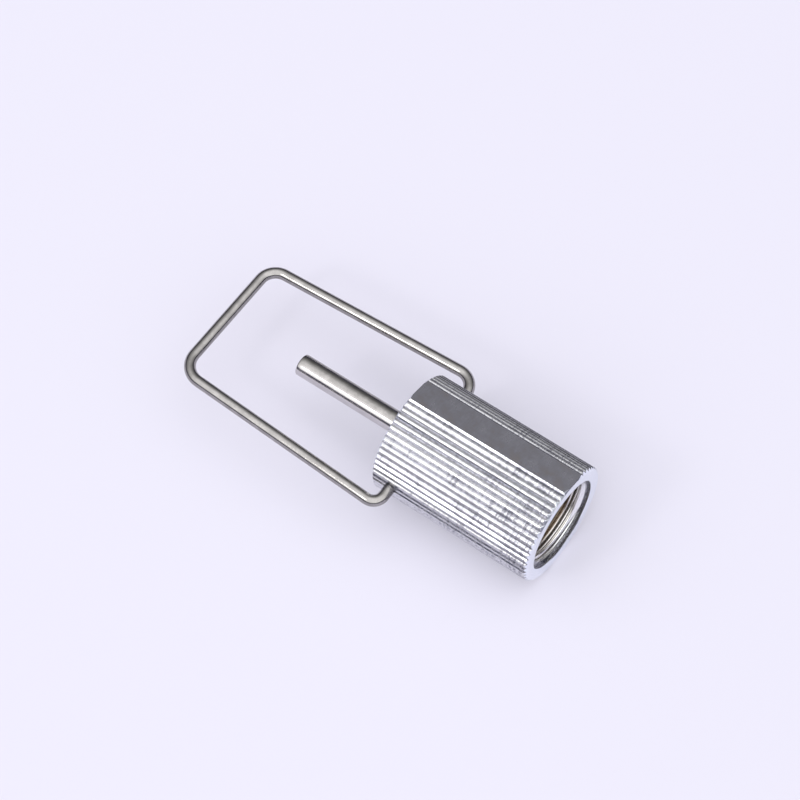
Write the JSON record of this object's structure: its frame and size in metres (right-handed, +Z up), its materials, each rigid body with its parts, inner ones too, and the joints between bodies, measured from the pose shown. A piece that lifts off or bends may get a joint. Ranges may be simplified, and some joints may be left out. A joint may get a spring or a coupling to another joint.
{
  "type": "cable lock",
  "caption": "Round knurled cable gripper lying on its side: threaded open mouth, spring-loaded hollow release plunger at the closed end, and a hinged wire hanging bail.",
  "frame": {"origin": "centre of the threaded mouth's face, on the barrel's axis", "axes": "+X out of the mouth along the barrel's axis, +Z up with the barrel lying on its side, Y along the bail's pivot line"},
  "size_m": [0.052, 0.023, 0.016],
  "materials": {
    "chrome_plate": "bright chrome plate on turned, straight-knurled brass",
    "bare_brass": "turned, unplated",
    "spring_steel": "drawn wire",
    "nickel_tube": "warm nickel plate, fine drawn lines",
    "ball_steel": "polished bearing steel",
    "nickel_wire": "bright drawn wire, warm nickel"
  },
  "bodies": {
    "barrel": {"barrel": "chrome_plate", "retaining_disc": "bare_brass", "return_spring": "spring_steel"},
    "plunger": {"plunger_tube": "nickel_tube", "ball_cage": "bare_brass"},
    "bail": {"wire_bail": "nickel_wire"},
    "ball_1": {"ball_1": "ball_steel"},
    "ball_2": {"ball_2": "ball_steel"},
    "ball_3": {"ball_3": "ball_steel"}
  },
  "joints": [
    {"name": "plunger_press", "type": "slide", "parent": "barrel", "child": "plunger", "axis": [1, 0, 0], "range_m": [0, 0.003], "stiffness_N_per_m": 300, "springref_m": -0.005, "deforming": ["return_spring"]},
    {"name": "bail_swing", "type": "hinge", "parent": "barrel", "child": "bail", "pos_m": [-0.02005, 0, 0], "axis": [0, 1, 0], "continuous": true},
    {"name": "ball_1_spread", "type": "slide", "parent": "plunger", "child": "ball_1", "axis": [0, 0, 1], "range_m": [0, 0.00066]},
    {"name": "ball_2_spread", "type": "slide", "parent": "plunger", "child": "ball_2", "axis": [0, -0.866, -0.5], "range_m": [0, 0.00066]},
    {"name": "ball_3_spread", "type": "slide", "parent": "plunger", "child": "ball_3", "axis": [0, 0.866, -0.5], "range_m": [0, 0.00066]}
  ],
  "couplings": [
    {"joint": "ball_1_spread", "follows": "plunger_press", "ratio": 0.21256},
    {"joint": "ball_2_spread", "follows": "plunger_press", "ratio": 0.21256},
    {"joint": "ball_3_spread", "follows": "plunger_press", "ratio": 0.21256}
  ]
}
